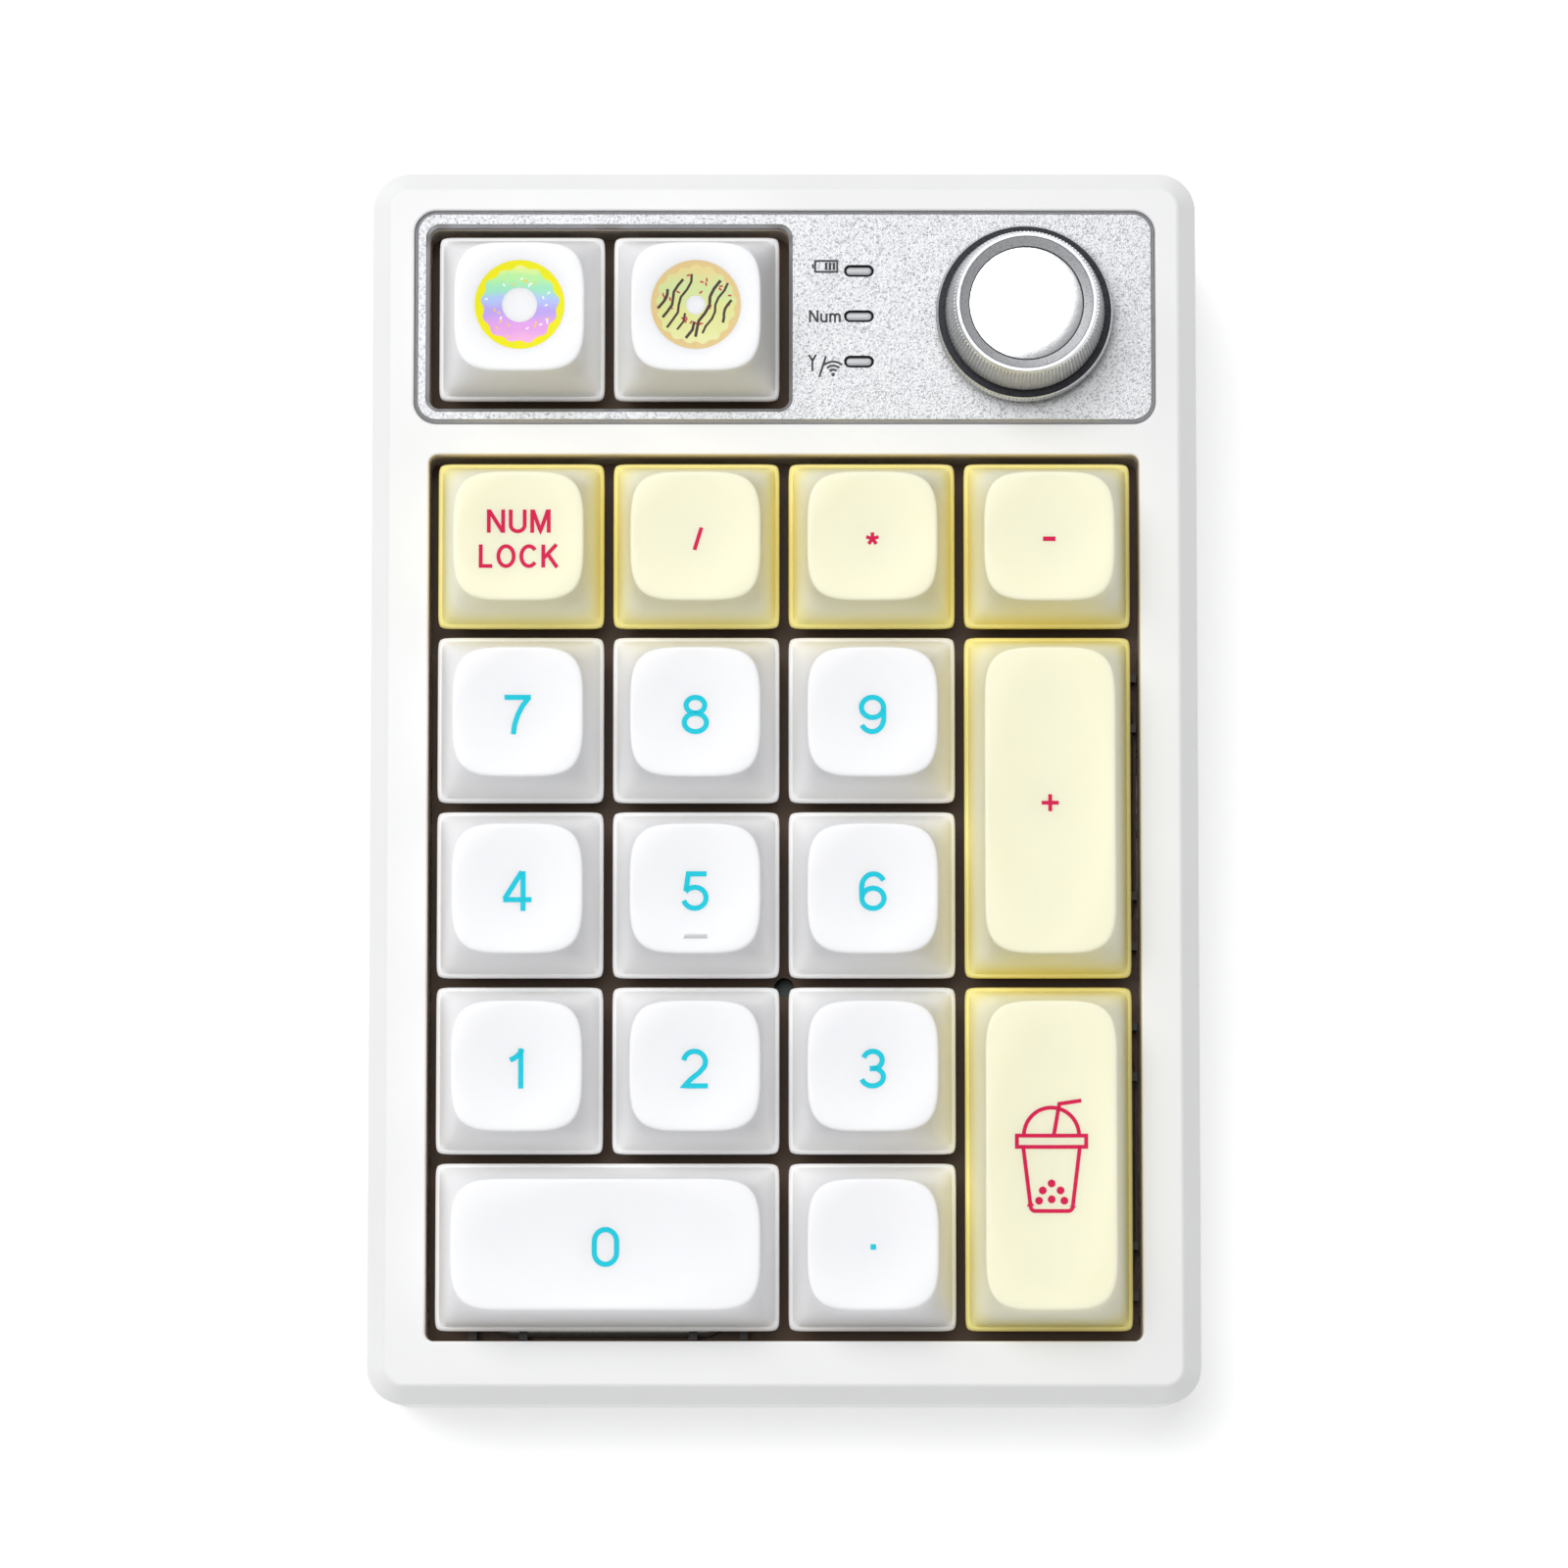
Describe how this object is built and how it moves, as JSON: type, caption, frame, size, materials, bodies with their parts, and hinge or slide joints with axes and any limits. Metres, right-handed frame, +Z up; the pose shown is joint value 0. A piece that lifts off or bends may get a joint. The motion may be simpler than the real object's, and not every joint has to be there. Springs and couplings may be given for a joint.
{
  "type": "numeric keypad",
  "caption": "Wedge-shaped mechanical numeric keypad with sculpted keycaps on sprung switches, an aluminium trim panel with indicator windows, and a knurled knob that turns and pushes.",
  "frame": {"origin": "bottom centre of the whole object, on the plane of the rubber feet", "axes": "+X to the right, +Y to the rear, +Z up; the deck slopes up to the rear by the typing angle"},
  "size_m": [0.09, 0.137, 0.0431],
  "materials": {
    "white_case_plastic": "moulded satin",
    "blasted_aluminium": "sand-blasted, anodised, polished edges",
    "turned_aluminium": "turned and knurled, anodised",
    "frosted_light_pipe": "frosted, translucent",
    "brown_grey_plate": "powder coated",
    "circuit_board": "black solder mask",
    "plated_steel": "nickel plated",
    "battery_foil": "foil pouch",
    "foot_rubber": "matte",
    "black_steel": "black oxide",
    "switch_housing_dark": "moulded nylon",
    "switch_housing_clear": "smoky polycarbonate",
    "switch_stem_red": "moulded acetal",
    "spring_steel": "drawn wire",
    "black_plastic": "moulded",
    "keycap_white": "fine moulded grain, dyed legends",
    "keycap_yellow": "fine moulded grain, dyed legends",
    "legend_cyan": "dye in the cap's surface",
    "legend_magenta": "dye in the cap's surface",
    "picture_print": "dye in the cap's surface",
    "panel_ink": "printed"
  },
  "bodies": {
    "root": {"top_case": "white_case_plastic", "bottom_case": "white_case_plastic", "trim_panel": "blasted_aluminium", "indicator_windows": "frosted_light_pipe", "switch_plate": "brown_grey_plate", "circuit_board": "circuit_board", "encoder_body": "plated_steel", "battery_pack": "battery_foil", "usb_c_socket": "plated_steel", "rubber_feet": "foot_rubber", "case_screws": "black_steel", "switch_lower_housings": "switch_housing_dark", "switch_upper_housings": "switch_housing_clear", "switch_springs": "spring_steel", "stabiliser_housings": "switch_housing_dark"},
    "key_num_lock": {"keycap_num_lock": "keycap_yellow", "switch_stem_num_lock": "switch_stem_red"},
    "key_divide": {"keycap_divide": "keycap_yellow", "switch_stem_divide": "switch_stem_red"},
    "key_multiply": {"keycap_multiply": "keycap_yellow", "switch_stem_multiply": "switch_stem_red"},
    "key_minus": {"keycap_minus": "keycap_yellow", "switch_stem_minus": "switch_stem_red"},
    "key_7": {"keycap_7": "keycap_white", "switch_stem_7": "switch_stem_red"},
    "key_8": {"keycap_8": "keycap_white", "switch_stem_8": "switch_stem_red"},
    "key_9": {"keycap_9": "keycap_white", "switch_stem_9": "switch_stem_red"},
    "key_plus": {"keycap_plus": "keycap_yellow", "switch_stem_plus": "switch_stem_red"},
    "key_4": {"keycap_4": "keycap_white", "switch_stem_4": "switch_stem_red"},
    "key_5": {"keycap_5": "keycap_white", "switch_stem_5": "switch_stem_red"},
    "key_6": {"keycap_6": "keycap_white", "switch_stem_6": "switch_stem_red"},
    "key_1": {"keycap_1": "keycap_white", "switch_stem_1": "switch_stem_red"},
    "key_2": {"keycap_2": "keycap_white", "switch_stem_2": "switch_stem_red"},
    "key_3": {"keycap_3": "keycap_white", "switch_stem_3": "switch_stem_red"},
    "key_enter": {"keycap_enter": "keycap_yellow", "switch_stem_enter": "switch_stem_red"},
    "key_0": {"keycap_0": "keycap_white", "switch_stem_0": "switch_stem_red"},
    "key_decimal": {"keycap_decimal": "keycap_white", "switch_stem_decimal": "switch_stem_red"},
    "key_function_1": {"keycap_function_1": "keycap_white", "switch_stem_function_1": "switch_stem_red"},
    "key_function_2": {"keycap_function_2": "keycap_white", "switch_stem_function_2": "switch_stem_red"},
    "stabiliser_wire_plus": {"stabiliser_wire_plus": "spring_steel"},
    "stabiliser_wire_enter": {"stabiliser_wire_enter": "spring_steel"},
    "stabiliser_wire_0": {"stabiliser_wire_0": "spring_steel"},
    "encoder_rotor": {"encoder_rotor": "switch_housing_dark"},
    "knob": {"knob": "turned_aluminium", "encoder_shaft": "plated_steel"},
    "mode_switch_slider": {"mode_switch_slider": "black_plastic"}
  },
  "joints": [
    {"name": "key_num_lock_press", "type": "slide", "parent": "root", "child": "key_num_lock", "axis": [0, 0.1045, -0.9945], "range_m": [0, 0.004], "stiffness_N_per_m": 75, "springref_m": -0.004, "deforming": ["switch_springs"]},
    {"name": "key_divide_press", "type": "slide", "parent": "root", "child": "key_divide", "axis": [0, 0.1045, -0.9945], "range_m": [0, 0.004], "stiffness_N_per_m": 75, "springref_m": -0.004, "deforming": ["switch_springs"]},
    {"name": "key_multiply_press", "type": "slide", "parent": "root", "child": "key_multiply", "axis": [0, 0.1045, -0.9945], "range_m": [0, 0.004], "stiffness_N_per_m": 75, "springref_m": -0.004, "deforming": ["switch_springs"]},
    {"name": "key_minus_press", "type": "slide", "parent": "root", "child": "key_minus", "axis": [0, 0.1045, -0.9945], "range_m": [0, 0.004], "stiffness_N_per_m": 75, "springref_m": -0.004, "deforming": ["switch_springs"]},
    {"name": "key_7_press", "type": "slide", "parent": "root", "child": "key_7", "axis": [0, 0.1045, -0.9945], "range_m": [0, 0.004], "stiffness_N_per_m": 75, "springref_m": -0.004, "deforming": ["switch_springs"]},
    {"name": "key_8_press", "type": "slide", "parent": "root", "child": "key_8", "axis": [0, 0.1045, -0.9945], "range_m": [0, 0.004], "stiffness_N_per_m": 75, "springref_m": -0.004, "deforming": ["switch_springs"]},
    {"name": "key_9_press", "type": "slide", "parent": "root", "child": "key_9", "axis": [0, 0.1045, -0.9945], "range_m": [0, 0.004], "stiffness_N_per_m": 75, "springref_m": -0.004, "deforming": ["switch_springs"]},
    {"name": "key_plus_press", "type": "slide", "parent": "root", "child": "key_plus", "axis": [0, 0.1045, -0.9945], "range_m": [0, 0.004], "stiffness_N_per_m": 75, "springref_m": -0.004, "deforming": ["switch_springs"]},
    {"name": "key_4_press", "type": "slide", "parent": "root", "child": "key_4", "axis": [0, 0.1045, -0.9945], "range_m": [0, 0.004], "stiffness_N_per_m": 75, "springref_m": -0.004, "deforming": ["switch_springs"]},
    {"name": "key_5_press", "type": "slide", "parent": "root", "child": "key_5", "axis": [0, 0.1045, -0.9945], "range_m": [0, 0.004], "stiffness_N_per_m": 75, "springref_m": -0.004, "deforming": ["switch_springs"]},
    {"name": "key_6_press", "type": "slide", "parent": "root", "child": "key_6", "axis": [0, 0.1045, -0.9945], "range_m": [0, 0.004], "stiffness_N_per_m": 75, "springref_m": -0.004, "deforming": ["switch_springs"]},
    {"name": "key_1_press", "type": "slide", "parent": "root", "child": "key_1", "axis": [0, 0.1045, -0.9945], "range_m": [0, 0.004], "stiffness_N_per_m": 75, "springref_m": -0.004, "deforming": ["switch_springs"]},
    {"name": "key_2_press", "type": "slide", "parent": "root", "child": "key_2", "axis": [0, 0.1045, -0.9945], "range_m": [0, 0.004], "stiffness_N_per_m": 75, "springref_m": -0.004, "deforming": ["switch_springs"]},
    {"name": "key_3_press", "type": "slide", "parent": "root", "child": "key_3", "axis": [0, 0.1045, -0.9945], "range_m": [0, 0.004], "stiffness_N_per_m": 75, "springref_m": -0.004, "deforming": ["switch_springs"]},
    {"name": "key_enter_press", "type": "slide", "parent": "root", "child": "key_enter", "axis": [0, 0.1045, -0.9945], "range_m": [0, 0.004], "stiffness_N_per_m": 75, "springref_m": -0.004, "deforming": ["switch_springs"]},
    {"name": "key_0_press", "type": "slide", "parent": "root", "child": "key_0", "axis": [0, 0.1045, -0.9945], "range_m": [0, 0.004], "stiffness_N_per_m": 75, "springref_m": -0.004, "deforming": ["switch_springs"]},
    {"name": "key_decimal_press", "type": "slide", "parent": "root", "child": "key_decimal", "axis": [0, 0.1045, -0.9945], "range_m": [0, 0.004], "stiffness_N_per_m": 75, "springref_m": -0.004, "deforming": ["switch_springs"]},
    {"name": "key_function_1_press", "type": "slide", "parent": "root", "child": "key_function_1", "axis": [0, 0.1045, -0.9945], "range_m": [0, 0.004], "stiffness_N_per_m": 75, "springref_m": -0.004, "deforming": ["switch_springs"]},
    {"name": "key_function_2_press", "type": "slide", "parent": "root", "child": "key_function_2", "axis": [0, 0.1045, -0.9945], "range_m": [0, 0.004], "stiffness_N_per_m": 75, "springref_m": -0.004, "deforming": ["switch_springs"]},
    {"name": "stabiliser_wire_plus_swing", "type": "hinge", "parent": "root", "child": "stabiliser_wire_plus", "pos_m": [0.03737, -0.00383, 0.02052], "axis": [0, 0.9945, 0.1045], "range_deg": [-32, 0]},
    {"name": "stabiliser_wire_enter_swing", "type": "hinge", "parent": "root", "child": "stabiliser_wire_enter", "pos_m": [0.03737, -0.04172, 0.01654], "axis": [0, 0.9945, 0.1045], "range_deg": [-32, 0]},
    {"name": "stabiliser_wire_0_swing", "type": "hinge", "parent": "root", "child": "stabiliser_wire_0", "pos_m": [-0.01905, -0.05994, 0.01462], "axis": [1, 0, 0], "range_deg": [-32, 0]},
    {"name": "knob_turn", "type": "hinge", "parent": "root", "child": "encoder_rotor", "pos_m": [0.02615, 0.04891, 0.03275], "axis": [0, -0.1045, 0.9945], "continuous": true},
    {"name": "knob_push", "type": "slide", "parent": "encoder_rotor", "child": "knob", "axis": [0, 0.1045, -0.9945], "range_m": [0, 0.0005], "stiffness_N_per_m": 4000, "springref_m": -0.0004},
    {"name": "mode_switch_slide", "type": "slide", "parent": "root", "child": "mode_switch_slider", "axis": [1, 0, 0], "range_m": [-0.002, 0.002]}
  ],
  "couplings": [
    {"joint": "stabiliser_wire_plus_swing", "follows": "key_plus_press", "rad_per_m": -138.76},
    {"joint": "stabiliser_wire_enter_swing", "follows": "key_enter_press", "rad_per_m": -138.76},
    {"joint": "stabiliser_wire_0_swing", "follows": "key_0_press", "rad_per_m": -138.76}
  ]
}
